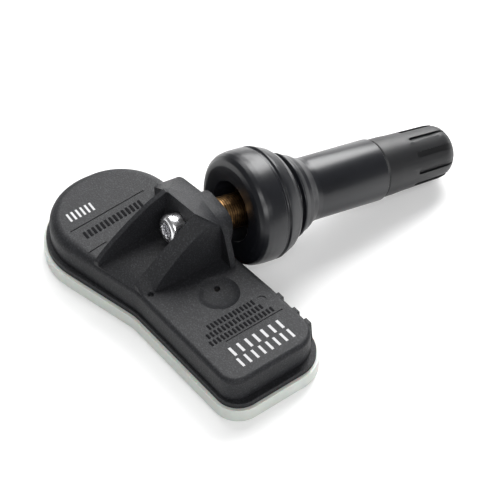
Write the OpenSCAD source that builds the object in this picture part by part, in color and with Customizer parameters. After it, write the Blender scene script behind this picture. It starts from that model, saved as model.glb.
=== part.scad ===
// Tyre pressure sensor with its rubber snap-in valve, lying on its base cover.
// Origin: on the ground, straight below the point where the valve axis meets
// the screw wall. +Y runs along the valve in plan, +X along the sensor's arm.

/* [Housing] */
// Height of the housing's flat top above the ground
body_top = 8.0; // [7.8:0.1:8.6]
// Height of the underside of the housing's rim
rim_low = 2.75; // [2.6:0.05:3.0]
// Thickness of the rim
rim_thick = 1.0; // [0.8:0.1:1.2]
// Thickness of the housing's side walls
wall = 1.3; // [1.1:0.1:1.4]
// Thickness of the housing's roof
roof = 1.2; // [1.0:0.05:1.3]

/* [Lobe] */
// Sideways place of the round lobe's centre
lobe_x = -13.45; // [-14:0.05:-13]
// Lengthwise place of the round lobe's centre
lobe_y = -4.2; // [-4.8:0.1:-4]
// Radius of the lobe's wall at the front
lobe_r = 10.75; // [10.4:0.05:11]
// Distance of the lobe's back wall from the origin
lobe_back = 6.85; // [6.6:0.05:7]
// Radius of the lobe's corner at the back
lobe_back_r = 9.9; // [9:0.1:10.2]
// Radius of the soft edge round the lobe's top
lobe_soft = 1.9; // [1.4:0.1:2.2]

/* [Arm] */
// Angle between the arm and the line square to the valve
arm_turn = 5.3; // [4:0.1:6]
// Distance of the arm's front wall from the origin
arm_front = 10.62; // [10.4:0.01:10.9]
// Distance of the arm's end wall from the origin
arm_end = 27.3; // [27:0.1:29]
// Distance of the arm's back wall from the origin
arm_back = 6.8; // [6.6:0.1:7]
// Radius of the arm's front corner
near_corner = 3.0; // [2.4:0.1:3.6]
// Radius of the arm's back corner
far_corner = 4.2; // [3.6:0.1:4.8]
// Radius of the soft edge round the arm's top
arm_soft = 0.8; // [0.5:0.1:1]
// Sideways place of the bend in the front wall
bend_x = 4.0; // [3.4:0.1:4.6]
// Sideways place where the back wall starts to narrow
knee_x = 14.0; // [13:0.1:15]
// Sideways place where the back wall has narrowed
neck_x = 4.5; // [4:0.1:5]

/* [Rim] */
// How far the rim stands out in front
ledge_front = 0.45; // [0.3:0.05:0.6]
// How far the rim stands out at the arm's end
ledge_end = 1.1; // [0.9:0.1:1.8]
// How far the rim stands out at the back
ledge_back = 1.0; // [0.9:0.1:1.6]
// How far the rim stands out round the lobe
ledge_lobe = 0.45; // [0.4:0.05:0.8]
// How far forward the rim's lobe circle is moved
ledge_shift = 0.4; // [0:0.05:0.4]

/* [Base cover] */
// How far the base cover stands out beyond the rim
base_lip = 0.5; // [0.2:0.05:0.6]
// Radius of the base cover's lower edge
base_soft = 0.5; // [0.3:0.1:1.2]
// Thickness of the base cover's floor
floor_thick = 1.0; // [0.8:0.05:1.1]
// Width of the sealing bead
bead_w = 0.6; // [0.4:0.05:0.7]
// Depth of the sealing bead's groove
bead_h = 0.6; // [0.4:0.05:0.7]
// Distance of the sealing bead from the rim's edge
bead_in = 0.5; // [0.4:0.05:0.55]
// Diameter of the posts under the circuit board
post_d = 2.0; // [1.6:0.1:2.4]

/* [Bracket] */
// Half the trough between the ribs, on the lobe's side
trough_left = 4.3; // [4.0:0.1:4.6]
// Half the trough between the ribs, on the arm's side
trough_right = 3.3; // [3.2:0.1:3.6]
// Thickness of the rib on the lobe's side
left_rib = 0.9; // [0.7:0.1:1.1]
// Thickness of the rib's foot on the arm's side, at its front
right_rib = 2.7; // [2.4:0.1:2.9]
// Thickness of the same rib's foot at the rear plate
right_rib_rear = 1.45; // [1.2:0.05:1.8]
// Height of the screw wall's top on the lobe's side
wall_top_left = 17.3; // [17:0.1:18]
// Height of the screw wall's top on the arm's side
wall_top_right = 18.7; // [18.3:0.1:19.2]
// How far the trough runs forward on the lobe's side
left_reach = 12.5; // [12:0.1:12.8]
// How far the trough runs forward on the arm's side
right_reach = 10.4; // [10:0.1:10.6]
// Rise of the trough's floor at the screw wall
trough_rise = 2.5; // [2:0.1:2.8]
// Height of the rear plate's arch
arch_top = 16.2; // [15.8:0.05:16.4]
// Lengthwise place of the rear plate's front
plate_y = 4.8; // [4.6:0.1:5]
// Thickness of the rear plate
plate_thick = 1.0; // [0.8:0.1:1.2]
// Half the width of the boss behind the rear plate
boss_half = 4.7; // [4.6:0.1:5.2]
// Height of the boss's top above the valve axis
boss_rise = 2.9; // [2.6:0.1:3]
// Where the boss ends along the valve axis
boss_end = 7.0; // [6.8:0.1:7.4]

/* [Valve] */
// Height of the valve axis above the origin
axis_z = 13.58; // [13.5:0.01:13.9]
// Angle by which the valve axis dips
axis_dip = 9.85; // [9.5:0.05:10]
// Where the brass stem starts along the valve axis
tail_start = 1.8; // [1.5:0.1:2]
// Radius of the stem's tail in the bracket
tail_r = 3.2; // [3:0.05:3.3]
// Width of the stem's tail across its two flats
tail_flats = 5.4; // [5:0.1:5.8]
// Radius of the stem's neck between bracket and rubber
neck_r = 2.8; // [2.6:0.05:2.9]
// Radius of the stem's collar in the rubber
collar_r = 4.3; // [4.1:0.05:4.5]
// Radius of the stem's tube in the rubber
tube_r = 3.6; // [3.5:0.05:3.7]
// Radius of the stem's outer thread
thread_r = 3.85; // [3.8:0.01:3.9]
// Where the stem's mouth is along the valve axis
mouth = 49.5; // [49:0.1:50]
// Radius of the stem's air passage
air_r = 1.2; // [1:0.05:1.3]
// Radius of the cross hole that lets tyre air into the stem
cross_hole_r = 0.8; // [0.6:0.05:0.9]
// Where the cross hole is along the valve axis
cross_hole_at = 9.3; // [9.2:0.1:9.6]
// Greatest radius of the rubber bulb
bulb_r = 9.4; // [9.2:0.05:9.6]
// Where the rubber bulb's face is along the valve axis
bulb_face = 9.6; // [9.4:0.05:9.8]
// Radius of the bulb's open mouth
bulb_mouth_r = 5.0; // [4.8:0.05:5.2]
// Radius at the bottom of the rim groove
groove_r = 6.35; // [6.2:0.05:6.5]
// Radius of the rubber sleeve
sleeve_r = 5.27; // [5.2:0.01:5.35]
// Where the rubber sleeve ends along the valve axis
sleeve_end = 37.4; // [37:0.1:37.5]

/* [Valve core] */
// Radius of the core barrel's screwed head
core_r = 2.6; // [2.5:0.05:2.7]
// Radius of the core barrel's body
core_body_r = 1.8; // [1.7:0.05:1.85]
// Length of the core barrel
core_len = 11.4; // [11:0.1:12]
// Radius of the core pin
pin_r = 0.6; // [0.55:0.01:0.65]
// How far the core pin travels when it is pressed in
pin_travel = 1.2; // [0.8:0.1:1.4]
// Diameter of the core spring's wire
spring_wire = 0.26; // [0.2:0.01:0.3]
// Turns of the core spring
spring_turns = 7; // [5:1:9]

/* [Dust cap] */
// Radius of the dust cap at its open end
cap_r = 5.0; // [4.9:0.01:5.1]
// Radius of the dust cap where its grip ends
cap_tip_r = 4.65; // [4.6:0.05:4.8]
// Where the dust cap's end is along the valve axis
cap_end = 53.1; // [53:0.1:54]
// Radius of the rounded corner at the dust cap's end
cap_round = 3.2; // [2.6:0.1:3.4]
// Where the dust cap's grip flutes start along the valve axis
flute_start = 44.0; // [43.5:0.1:45]
// Number of grip flutes
flutes = 10; // [8:1:12]
// Width of each grip flute
flute_w = 0.95; // [0.7:0.05:1.1]
// Depth of each grip flute
flute_deep = 0.42; // [0.3:0.02:0.5]

/* [Screw] */
// Radius of the mounting screw's head
head_r = 2.36; // [2.2:0.02:2.5]
// Height of the mounting screw's head
head_h = 2.6; // [2.2:0.1:2.7]
// Radius of the mounting screw's shank
shank_r = 1.75; // [1.5:0.05:1.8]
// Length of the mounting screw's shank
shank_len = 6.6; // [6:0.1:6.8]
// Depth of the seat that the head lies in
seat_deep = 0.2; // [0.1:0.05:0.5]

/* [Electronics] */
// Gap between the button cell and the lobe's wall
cell_gap = 1.45; // [1.4:0.05:1.7]
// Height of the button cell
cell_h = 3.2; // [2.5:0.1:3.4]
// Thickness of the battery tabs
tab_thick = 0.2; // [0.15:0.05:0.25]
// Width of the battery tabs
tab_w = 3.0; // [2.5:0.1:4]
// Thickness of the circuit board
board_thick = 0.8; // [0.6:0.1:1]
// Gap between the circuit board and the arm's end wall
board_gap = 2.0; // [1.5:0.1:2.5]
// Width of the circuit board
board_w = 13.6; // [12:0.1:14]
// Side of the pressure sensing chip
chip_side = 6.0; // [5:0.1:7]
// Height of the pressure sensing chip
chip_h = 1.8; // [1.6:0.1:1.9]
// Diameter of the pressure port through the roof
port_d = 1.0; // [0.8:0.1:1.3]
// Thickness of the loop antenna's wire
antenna_d = 0.8; // [0.6:0.1:1]

/* [Hidden] */
$fn = 72;
eps = 0.01;

// Clearances
slip = 0.02;         // between pieces that are pressed or bonded together
run_gap = 0.06;      // round the core pin in its guide
thread_gap = 0.08;   // between the cap's and the stem's threads
seat_gap = 0.05;     // between a seal on a moving piece and its seat
head_gap = 0.2;      // round the screw's head in its seat

// Body outline: a round lobe and an arm, joined by a neck under the bracket
ceiling = body_top - roof;
body_steps = [17, 17, 2, 15, 15, 1, 2];
arch_steps = [3, 10, 3, 5, 3];
lobe_at = [lobe_x, lobe_y];
rim_lobe_at = [lobe_x + 0.5 * ledge_shift, lobe_y - ledge_shift];
rim_lobe_r = lobe_r + ledge_lobe;
front_turn = 270 + arm_turn;
end_turn = 360 + arm_turn;
back_turn = 450 + arm_turn;

// Place of the bracket and the arm's details
dish_at = [10.8, 0.3];
dish_r = 3.55;
dish_deep = 0.7;
port_at = [9.4, 1.1];
pit_at = [5.6, -8.6];
pit_r = 0.5;
ejector_at = [15.6, 5.4];
ejector_r = 0.75;
mark_deep = 0.12;
line_w = 0.28;
nub_x = [16, 19.9, 22.8];
nub_size = [1.3, 0.8, 3.7];
line_arm_x = 19.6;
line_arm_y = [-5.6, 5.0];
frame_line = [[-13.1, -12.4], [-15.15, 1.95], [-13.4, 2.3]];
frame_stub = [[-7.45, -12.4], [-8.1, -8.85]];
rib_inset = 0.35;

// Stations along the valve axis
collar_at = bulb_face + 3.6;
collar_len = 2.0;
rubber_mouth_bottom = collar_at;
core_top = mouth - 0.6;
core_bottom = core_top - core_len;
core_head_len = 4.2;
core_neck = core_top - core_head_len;
guide_len = 1.6;
hollow_r = 1.28;
barrel_floor = 1.0;
spring_low = core_bottom + barrel_floor;
pin_collar_at = core_top - guide_len - pin_travel - 0.6;
pin_collar_len = 0.5;
spring_r = 0.93;
cup_r = 1.45;
cup_len = 1.3;
chamber_r = core_body_r + 0.16;
chamber_start = core_bottom - cup_len - pin_travel - 2.5;
cap_start = sleeve_end + 0.25;
cap_bore_r = thread_r + thread_gap;
cap_seal_h = 0.9;
cap_seal_at = mouth + seat_gap;
cap_ceiling = cap_seal_at + cap_seal_h;
cap_shoulder_r = cap_r - 0.15;
flute_phase = -47;

// Heights inside the housing
port_seal_h = 0.6;
chip_low = ceiling - port_seal_h - chip_h;
board_low = chip_low - board_thick;
cell_d = 2 * (lobe_r - wall - cell_gap);
cell_low = floor_thick + tab_thick;
cell_top = cell_low + cell_h;
board_left = -2.5;
board_end = arm_end - wall - board_gap;
board_len = board_end - board_left;
board_front = -8.6;
board_y = board_front + board_w / 2;

// Unit vector at an angle in plan
function toward(a) = [cos(a), sin(a)];

// Straight edge of an outline: outward angle, and distance from the origin
function edge_at(a, p) = [a, toward(a) * p];

// Point where two edges meet when both are moved inwards by r
function meet(e, f, r) =
    [(e[1] - r) * sin(f[0]) - (f[1] - r) * sin(e[0]), (f[1] - r) * cos(e[0]) - (e[1] - r) * cos(f[0])]
    / sin(f[0] - e[0]);

// Points of one rounded corner; a negative radius rounds an inward corner
function corner(e, f, r, inset, n) =
    let (c = meet(e, f, r))
    [for (k = [0:n]) c + (r - inset) * toward(e[0] + (f[0] - e[0]) * k / n)];

// Closed outline from edges in turn, with the radius, inset and steps of each corner between them
function outline(edges, radii, insets, steps) =
    [for (i = [0:len(radii) - 1]) each corner(edges[i], edges[i + 1], radii[i], insets[i], steps[i])];

// The same inset at every corner
function all_round(inset, n = 7) = [for (i = [1:n]) inset];

// Angle of the straight edge that leaves a circle and reaches a point in front
function lead_turn(c, r, p) =
    let (d = p - c) atan2(d[1], d[0]) + asin(r / norm(d)) + 270;

// Point of an edge at a given sideways place
function on_edge(e, x) = [x, (e[1] - x * cos(e[0])) / sin(e[0])];

// Edges of the body's outline for a lobe circle and four wall distances
function body_edges(c, r, round_back, front, far, back) =
    let (
        front_edge = [front_turn, front],
        back_edge = [back_turn, back],
        lead = lead_turn(c, r, on_edge(front_edge, bend_x)),
        neck_turn = 450 + atan2(on_edge(back_edge, knee_x)[1] - round_back, knee_x - neck_x),
        lead_edge = [lead, edge_at(lead, c)[1] + r],
        end_edge = [end_turn, far],
        neck_edge = edge_at(neck_turn, [neck_x, round_back])
    )
    [[90, round_back], [180, r - c[0]], lead_edge, front_edge, end_edge, back_edge, neck_edge,
        [450, round_back]];

wall_edges = body_edges(lobe_at, lobe_r, lobe_back, arm_front, arm_end, arm_back);
wall_radii = [lobe_back_r, lobe_r, -8, near_corner, far_corner, 6, -6];
wall_softs = [lobe_soft, lobe_soft, arm_soft, arm_soft, arm_soft, arm_soft, arm_soft];
rim_edges = body_edges(rim_lobe_at, rim_lobe_r, lobe_back + ledge_lobe, arm_front + ledge_front,
    arm_end + ledge_end, arm_back + ledge_back);
rim_radii = [lobe_back_r + ledge_lobe, rim_lobe_r, -8, near_corner + 0.8, far_corner + 1.4, 6, -6];

function wall_outline(inset) = outline(wall_edges, wall_radii, all_round(inset), body_steps);
function rim_outline(inset) = outline(rim_edges, rim_radii, all_round(inset), body_steps);

// Flat ring of points at one height
function level_ring(pts, z) = [for (p = pts) [p[0], p[1], z]];

// Ring of points at one height of a body's rounded edge; turn runs from 0 to 90
function soft_ring(edges, radii, softs, top, turn) =
    let (pts = outline(edges, radii, softs * (1 - cos(turn)), body_steps))
    let (drops = [for (i = [0:len(softs) - 1]) each [for (k = [0:body_steps[i]]) softs[i]]])
    [for (k = [0:len(pts) - 1]) [pts[k][0], pts[k][1], top - drops[k] * (1 - sin(turn))]];

// Rounded edge from the upright wall to the level top, as rings in turn
function soft_edge(edges, radii, softs, top, count) =
    [for (k = [0:count]) soft_ring(edges, radii, softs, top, 90 * k / count)];

// Solid between rings that each have as many points, lowest first
module skin(rings) {
    n = len(rings[0]);
    last = len(rings) - 1;
    sides = [for (j = [0:last - 1], i = [0:n - 1])
        each [[j * n + i, (j + 1) * n + i, (j + 1) * n + (i + 1) % n],
              [j * n + i, (j + 1) * n + (i + 1) % n, j * n + (i + 1) % n]]];
    lower = [[for (i = [0:n - 1]) i]];
    upper = [[for (i = [n - 1:-1:0]) last * n + i]];
    polyhedron([for (ring = rings) each ring], concat(sides, lower, upper));
}

// Rim, walls and soft top edge of the housing in one
module body_shell() {
    rim_top = rim_low + rim_thick;
    skin(concat([level_ring(rim_outline(0), rim_low), level_ring(rim_outline(0), rim_top),
        level_ring(wall_outline(0), rim_top)], soft_edge(wall_edges, wall_radii, wall_softs, body_top, 6)));
}

// Frame of the valve: local +Z runs along the valve axis, local +Y points down
module on_axis() {
    translate([0, 0, axis_z])
        rotate([-90 - axis_dip, 0, 0])
            children();
}

// Arm's own frame, turned with its walls
module on_arm() {
    rotate(arm_turn)
        children();
}

// Ring between two outlines
module outline_ring(outer, inner, low, high) {
    translate([0, 0, low])
        linear_extrude(high - low)
            difference() {
                polygon(outer);
                polygon(inner);
            }
}

// Outline of the rear plate: a ramp down to the lobe, a crowned top, a steep side
arch_right = 19;
arch_crown = 105;
arch_left = 136;
arch_edges = [[-90, 2 - body_top], edge_at(arch_right, [7.6, body_top]), [90, arch_top],
    edge_at(arch_crown, [-5.6, arch_top - 1]), edge_at(arch_left, [-15.2, body_top]), [270, 2 - body_top]];
arch_radii = [0.3, 4.6, 12, 5, 0.3];

function arch_outline(inset) = outline(arch_edges, arch_radii, all_round(inset, 5), arch_steps);

// Height above the valve axis, in the plane of the screw wall, of a height above ground
function above_axis(z) = (z - axis_z) / cos(axis_dip);

// Front face of the screw wall, its sides inside the two ribs
module screw_wall_face() {
    foot = above_axis(body_top - 1.5);
    left = -trough_left - 0.25;
    right = trough_right + 0.2;
    polygon([[left, -foot], [left, -above_axis(wall_top_left)], [right, -above_axis(wall_top_right)],
        [right, -foot]]);
}

// Block between the screw wall and the rear plate
module bracket_block() {
    hull() {
        on_axis()
            linear_extrude(0.2)
                screw_wall_face();
        translate([0, plate_y + eps, 0])
            rotate([90, 0, 0])
                linear_extrude(0.2)
                    intersection() {
                        polygon(arch_outline(2 * eps));
                        translate([-20, 0])
                            square([20 + trough_right + right_rib_rear - 0.2, 30]);
                    }
    }
}

// Thin arched plate behind the block
module rear_plate() {
    translate([0, plate_y + plate_thick, 0])
        rotate([90, 0, 0])
            linear_extrude(plate_thick)
                polygon(arch_outline(0));
}

// Boss that the stem's tail sits in, with a level top and round shoulders
module rear_boss() {
    top = boss_rise;
    low = axis_z - body_top + 1.0;
    shoulder = 2.6;
    on_axis()
        translate([0, 0, plate_y])
            linear_extrude(boss_end - plate_y)
                union() {
                    translate([-boss_half, -top + shoulder])
                        square([2 * boss_half, low + top - shoulder]);
                    translate([-boss_half + shoulder, -top])
                        square([2 * (boss_half - shoulder), low + top]);
                    for (s = [-1, 1])
                        translate([s * (boss_half - shoulder), -top + shoulder])
                            circle(shoulder);
                }
}

// Thin rib on the lobe's side of the trough, its top falling in a shallow curve
module left_gusset() {
    translate([-trough_left - left_rib, 0, 0])
        rotate([90, 0, 90])
            linear_extrude(left_rib)
                polygon([[-left_reach - 0.3, body_top - 1], [2, body_top - 1], [2, wall_top_left - 0.6],
                    [0.4, wall_top_left + 0.05], [-2.6, wall_top_left - 1.2], [-6.3, wall_top_left - 3.6],
                    [-9, wall_top_left - 5.65], [-10.9, wall_top_left - 7.25], [-left_reach - 0.3, body_top + 0.1]]);
}

// Ring across the right rib at one lengthwise place, for its inner and outer height
function rib_ring(y, inner_z, outer_z) =
    let (along = (y + right_reach) / (plate_y + right_reach))
    let (foot = right_rib + (right_rib_rear - right_rib) * along)
    let (top = foot - 0.45 * (1 - along))
    [[trough_right, y, inner_z], [trough_right + top, y, outer_z], [trough_right + foot, y, body_top - 1],
        [trough_right, y, body_top - 1]];

// Thick rib on the arm's side, its top sloping down to the arm
module right_gusset() {
    skin([rib_ring(-right_reach - 0.4, 8.7, body_top - 0.6), rib_ring(-9.5, 9.8, body_top - 0.4),
        rib_ring(-7.9, 11.2, body_top - 0.05), rib_ring(-6.6, 12.35, 9.8), rib_ring(-3.1, 15.3, 13.05),
        rib_ring(-0.6, 17.45, 14.75), rib_ring(0.9, wall_top_right, 15.65), rib_ring(2.6, 17.45, 16.3),
        rib_ring(plate_y + 0.3, arch_top - 0.7, arch_top - 1.7)]);
}

// Floor of the trough, rising towards the screw wall from the body's front edge
module trough_floor() {
    into_rib = 0.2;
    rise = [[0, -0.12], [0.18, 0.27], [0.4, 0.57], [0.62, 0.78], [0.84, 0.94], [1.05, 1]];
    skin([for (side = [[-trough_left - into_rib, left_reach], [trough_right + into_rib, right_reach]])
        concat([[side[0], -side[1], body_top - 1], [side[0], 0.05 * side[1], body_top - 1]],
            [for (k = [5:-1:0]) [side[0], (rise[k][0] - 1) * side[1], body_top + rise[k][1] * trough_rise]])]);
}

// Tail of the stem, round with two flats, grown by a clearance
module tail_shape(gap) {
    intersection() {
        circle(tail_r + gap);
        square([2 * tail_r + 2, tail_flats + 2 * gap], center = true);
    }
}

// Cutter for one shallow line between two places on the top
module mark_line(from, to) {
    run = to - from;
    translate([from[0], from[1], body_top - mark_deep])
        rotate(atan2(run[1], run[0]))
            translate([-line_w / 2, -line_w / 2, 0])
                cube([norm(run) + line_w, line_w, 1]);
}

// Shallow moulded lines and marks in the top
module top_marks() {
    low = body_top - mark_deep;
    translate([ejector_at[0], ejector_at[1], low])
        cylinder(r = ejector_r, h = 1);
    translate([pit_at[0], pit_at[1], body_top - 0.4])
        cylinder(r = pit_r, h = 1);
    on_arm()
        mark_line([line_arm_x, line_arm_y[0]], [line_arm_x, line_arm_y[1]]);
    mark_line(frame_line[0], frame_line[1]);
    mark_line(frame_line[1], frame_line[2]);
    mark_line(frame_stub[0], frame_stub[1]);
}

module housing() {
    ball_r = (dish_r * dish_r + dish_deep * dish_deep) / (2 * dish_deep);
    color("#3c3c40")
        difference() {
            union() {
                body_shell();
                bracket_block();
                rear_plate();
                rear_boss();
                intersection() {
                    union() {
                        left_gusset();
                        right_gusset();
                        trough_floor();
                    }
                    linear_extrude(wall_top_right + 1)
                        polygon(wall_outline(rib_inset));
                }
                on_arm()
                    for (x = nub_x)
                        translate([x, arm_back - 0.3, rim_low + rim_thick / 2])
                            cube([nub_size[0], nub_size[1] + 0.3, nub_size[2] + rim_thick / 2]);
            }
            // Cavity for the electronics
            translate([0, 0, rim_low - 1])
                linear_extrude(ceiling - rim_low + 1)
                    polygon(wall_outline(wall));
            // Seat and hole for the screw, and pocket for the stem's tail
            on_axis() {
                translate([0, 0, -1])
                    cylinder(r = head_r + head_gap, h = 1 + seat_deep);
                cylinder(r = shank_r + 0.15, h = tail_start + 1);
                translate([0, 0, tail_start])
                    linear_extrude(boss_end)
                        tail_shape(slip);
            }
            // Dish over the sensor, with the pressure port in it
            translate([dish_at[0], dish_at[1], body_top])
                intersection() {
                    translate([0, 0, ball_r - dish_deep])
                        sphere(ball_r, $fn = 160);
                    translate([0, 0, -1])
                        cylinder(r = dish_r + 0.1, h = 1.02);
                }
            translate([port_at[0], port_at[1], ceiling - 1])
                cylinder(d = port_d, h = roof + 2);
            top_marks();
        }
}

module base_cover() {
    edges = [for (e = rim_edges) [e[0], e[1] + base_lip]];
    radii = [for (r = rim_radii) r + base_lip];
    top = level_ring(rim_outline(-base_lip), 0);
    color("#cdd6cf")
        union() {
            difference() {
                translate([0, 0, rim_low])
                    mirror([0, 0, 1])
                        skin(concat([top], soft_edge(edges, radii, all_round(base_soft), rim_low, 4)));
                translate([0, 0, floor_thick])
                    linear_extrude(rim_low)
                        polygon(wall_outline(wall));
                outline_ring(rim_outline(bead_in), rim_outline(bead_in + bead_w), rim_low - bead_h, rim_low + 1);
            }
            // Ring that keeps the cell in place
            translate([lobe_x, lobe_y, floor_thick - 0.1])
                difference() {
                    cylinder(d = cell_d + 1.2, h = 1.1);
                    translate([0, 0, -1])
                        cylinder(d = cell_d + 0.3, h = 4);
                    translate([0, -tab_w / 2 - 0.2, -1])
                        cube([cell_d, tab_w + 0.4, 4]);
                }
            // Posts under the board's corners
            on_arm()
                for (x = [board_left + 4, board_end - 2], y = [board_front + 2, board_front + board_w - 2])
                    translate([x, y, floor_thick - 0.1])
                        cylinder(d = post_d, h = board_low - floor_thick + 0.1, $fn = 32);
        }
}

module sealing_bead() {
    color("#2f3a3a")
        outline_ring(rim_outline(bead_in + slip), rim_outline(bead_in + bead_w - slip), rim_low - bead_h, rim_low);
}

// Pan head with a six-lobed recess, plain shank and a blunt point
module mounting_screw() {
    dome = 0.8;
    recess_r = 0.98;
    lobe = 0.34;
    color("#d8dade")
        on_axis()
            difference() {
                union() {
                    translate([0, 0, seat_deep])
                        mirror([0, 0, 1])
                            rotate_extrude()
                                union() {
                                    square([head_r, head_h - dome]);
                                    square([head_r - dome, head_h]);
                                    intersection() {
                                        translate([head_r - dome, head_h - dome])
                                            circle(dome);
                                        square([head_r, head_h]);
                                    }
                                }
                    translate([0, 0, seat_deep - eps])
                        cylinder(r = shank_r, h = shank_len - 0.6);
                    translate([0, 0, seat_deep + shank_len - 0.6 - 2 * eps])
                        cylinder(r1 = shank_r, r2 = shank_r - 0.5, h = 0.6);
                }
                translate([0, 0, seat_deep - head_h - eps])
                    union() {
                        cylinder(r = recess_r, h = 1.3);
                        for (k = [0:5])
                            rotate(k * 60)
                                translate([recess_r, 0, 0])
                                    cylinder(r = lobe, h = 1.3, $fn = 24);
                    }
            }
}

module valve_stem() {
    bore_deep = seat_deep + shank_len + 0.4;
    seat_low = core_neck - 1.0;
    color("#b98a3e")
        on_axis()
            difference() {
                union() {
                    translate([0, 0, tail_start])
                        linear_extrude(boss_end - tail_start)
                            tail_shape(0);
                    rotate_extrude()
                        polygon([[0, boss_end - eps], [neck_r, boss_end - eps], [neck_r, collar_at - 0.8],
                            [collar_r, collar_at], [collar_r, collar_at + collar_len], [tube_r, collar_at + collar_len + 0.5],
                            [tube_r, sleeve_end - 3], [thread_r, sleeve_end - 2.6], [thread_r, mouth - 0.5],
                            [thread_r - 0.5, mouth], [0, mouth]]);
                }
                translate([0, 0, tail_start - 1])
                    cylinder(r = shank_r + slip, h = bore_deep - tail_start + 1);
                rotate_extrude()
                    polygon([[0, cross_hole_at - cross_hole_r], [air_r, cross_hole_at - cross_hole_r],
                        [air_r, chamber_start], [chamber_r, chamber_start + 0.6], [chamber_r, seat_low],
                        [core_r - 0.3, core_neck], [core_r + slip, core_neck], [core_r + slip, mouth + 1], [0, mouth + 1]]);
                translate([0, 0, cross_hole_at])
                    rotate([-90, 0, 0])
                        cylinder(r = cross_hole_r, h = neck_r + 2);
            }
}

// Outer profile of the rubber from the bulb's mouth to the sleeve's end: radius and station
function rubber_profile() = [
    [bulb_mouth_r, bulb_face],
    [bulb_r - 2.0, bulb_face],
    [bulb_r - 1.15, bulb_face + 0.2],
    [bulb_r - 0.55, bulb_face + 0.6],
    [bulb_r - 0.2, bulb_face + 1.2],
    [bulb_r - 0.05, bulb_face + 2.0],
    [bulb_r, bulb_face + 3.0],
    [bulb_r, bulb_face + 4.8],
    [bulb_r - 0.16, bulb_face + 5.05],
    [bulb_r - 0.16, bulb_face + 5.2],
    [bulb_r - 0.06, bulb_face + 5.4],
    [bulb_r - 0.28, bulb_face + 6.3],
    [bulb_r - 0.8, bulb_face + 7.6],
    [bulb_r - 1.4, bulb_face + 8.4],
    [bulb_r - 2.0, bulb_face + 8.75],
    [groove_r, bulb_face + 8.95],
    [groove_r, bulb_face + 9.65],
    [groove_r + 0.75, bulb_face + 9.75],
    [groove_r + 0.85, bulb_face + 10.0],
    [groove_r + 0.3, bulb_face + 11.0],
    [groove_r + 0.05, bulb_face + 11.8],
    [groove_r - 0.45, bulb_face + 12.6],
    [groove_r - 0.9, bulb_face + 13.4],
    [sleeve_r, bulb_face + 14.4],
    [sleeve_r, sleeve_end]];

// Inner side of the rubber, bonded to the stem
function rubber_bore() = [
    [thread_r + slip, sleeve_end],
    [thread_r + slip, sleeve_end - 2.6],
    [tube_r + slip, sleeve_end - 3],
    [tube_r + slip, collar_at + collar_len + 0.5],
    [collar_r + slip, collar_at + collar_len],
    [collar_r + slip, rubber_mouth_bottom],
    [bulb_mouth_r - 0.4, rubber_mouth_bottom]];

module valve_rubber() {
    color("#2c2c30")
        on_axis()
            rotate_extrude($fn = 96)
                polygon(concat(rubber_profile(), rubber_bore()));
}

module core_barrel() {
    color("#c8a860")
        on_axis()
            rotate_extrude()
                polygon([[pin_r + run_gap, core_top], [core_r, core_top], [core_r, core_neck + 0.4],
                    [core_r - 0.4, core_neck], [core_body_r, core_neck], [core_body_r, core_bottom],
                    [pin_r + 0.3, core_bottom], [pin_r + 0.3, spring_low], [hollow_r, spring_low],
                    [hollow_r, core_top - guide_len], [pin_r + run_gap, core_top - guide_len]]);
}

// Tapered sealing ring under the barrel's head
module core_barrel_seal() {
    color("#e8e4da")
        on_axis()
            rotate_extrude()
                polygon([[core_body_r + slip, core_neck - 0.02], [core_r - 0.36, core_neck - 0.02],
                    [chamber_r - 0.02, core_neck - 0.96], [core_body_r + slip, core_neck - 0.96]]);
}

module core_pin() {
    tip = core_top + 0.25;
    foot = core_bottom - cup_len;
    color("#cfa75a")
        on_axis()
            rotate_extrude($fn = 48)
                polygon([[0, foot], [pin_r, foot], [pin_r, pin_collar_at], [hollow_r - 0.12, pin_collar_at],
                    [hollow_r - 0.12, pin_collar_at + pin_collar_len], [pin_r, pin_collar_at + pin_collar_len],
                    [pin_r, tip - 0.25], [pin_r - 0.25, tip], [0, tip]]);
}

// Rubber-faced cup at the pin's inner end, closing on the barrel
module core_seal_cup() {
    color("#35353a")
        on_axis()
            rotate_extrude($fn = 48)
                polygon([[pin_r + slip, core_bottom - cup_len], [cup_r - 0.3, core_bottom - cup_len],
                    [cup_r, core_bottom - cup_len + 0.4], [cup_r, core_bottom - seat_gap],
                    [pin_r + slip, core_bottom - seat_gap]]);
}

// Point on the spring's wire section
function wire_point(turn, side) =
    let (r = spring_r + spring_wire / 2 * cos(side), span = pin_collar_at - spring_low - spring_wire - 0.04)
    [r * cos(turn), r * sin(turn),
        spring_low + spring_wire / 2 + 0.02 + span * turn / (360 * spring_turns) + spring_wire / 2 * sin(side)];

module core_spring() {
    per_turn = 14;
    sides = 6;
    last = per_turn * spring_turns;
    points = [for (k = [0:last], s = [0:sides - 1]) wire_point(360 * k / per_turn, 360 * s / sides)];
    skin = [for (k = [0:last - 1], s = [0:sides - 1])
        each [[k * sides + s, k * sides + (s + 1) % sides, (k + 1) * sides + (s + 1) % sides],
              [k * sides + s, (k + 1) * sides + (s + 1) % sides, (k + 1) * sides + s]]];
    ends = [[for (s = [sides - 1:-1:0]) s], [for (s = [0:sides - 1]) last * sides + s]];
    color("#a8aab0")
        on_axis()
            polyhedron(points, concat(skin, ends));
}

// Rounded corner at the cap's end, moved inwards
function cap_corner(inset) =
    [for (k = [0:5]) [cap_tip_r - cap_round, cap_end - cap_round] + (cap_round - inset) * toward(18 * k)];

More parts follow.
